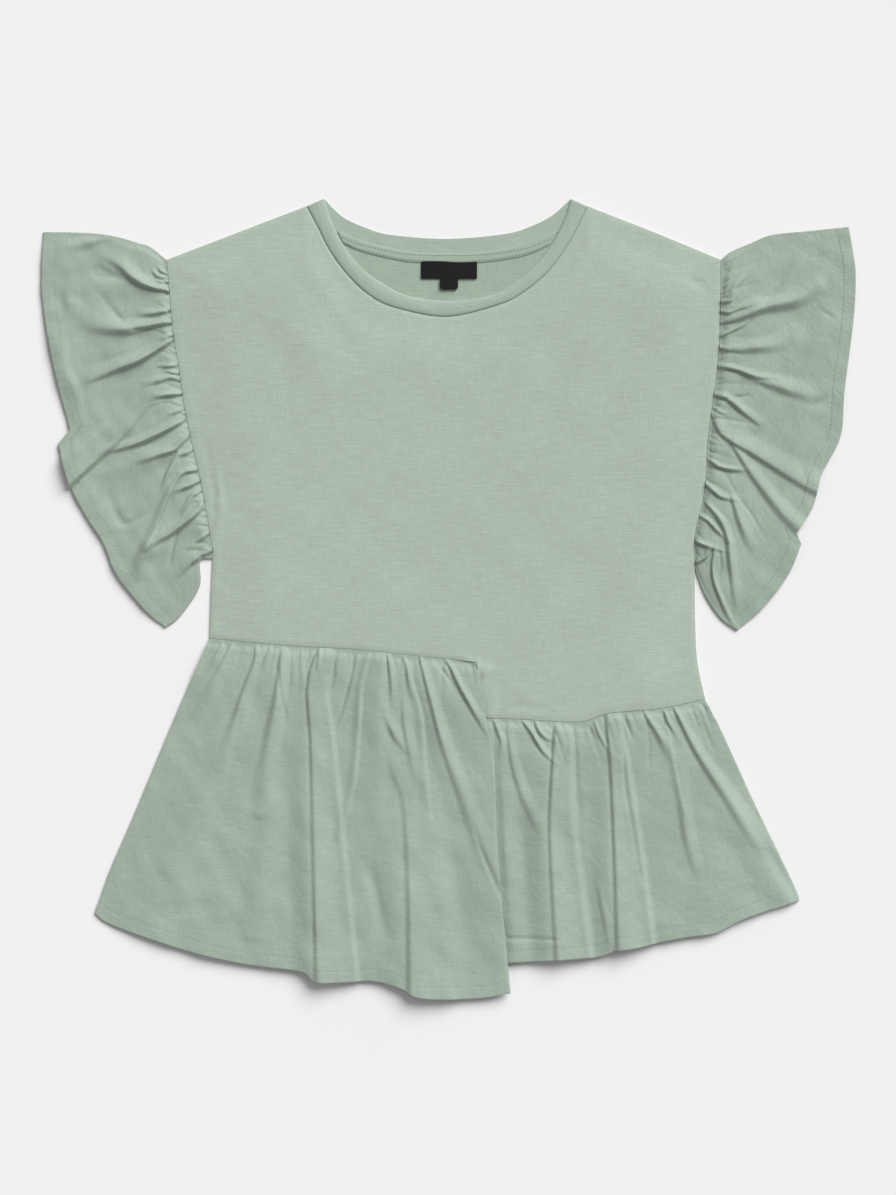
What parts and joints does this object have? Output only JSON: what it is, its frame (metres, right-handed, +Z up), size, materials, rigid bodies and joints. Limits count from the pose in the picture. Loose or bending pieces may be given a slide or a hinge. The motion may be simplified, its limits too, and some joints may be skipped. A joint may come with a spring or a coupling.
{
  "type": "blouse",
  "caption": "Short blouse laid flat, with gathered flutter sleeves, a round neckband and a stepped, gathered peplum in two lengths.",
  "frame": {"origin": "centre of the bounding box in plan, on the surface that the blouse lies on", "axes": "+Z up from the surface towards the front of the garment, +Y towards the neck, +X towards the right-hand sleeve as seen from above"},
  "size_m": [0.7324, 0.7196, 0.0157],
  "materials": {
    "jersey": "sage green cotton jersey, matt",
    "poplin": "sage green cotton poplin, matt, softly creased",
    "tape": "sage green neck tape, matt",
    "label": "black woven label, blank, satin"
  },
  "bodies": {
    "root": {"front_bodice": "jersey", "back_bodice": "jersey", "neckband": "jersey", "neck_tape": "tape", "main_label": "label", "size_label": "label", "sleeve_ruffle_left": "poplin", "sleeve_ruffle_right": "poplin", "peplum_front_left": "poplin", "peplum_front_right": "poplin", "peplum_back_left": "poplin", "peplum_back_right": "poplin"}
  },
  "joints": []
}
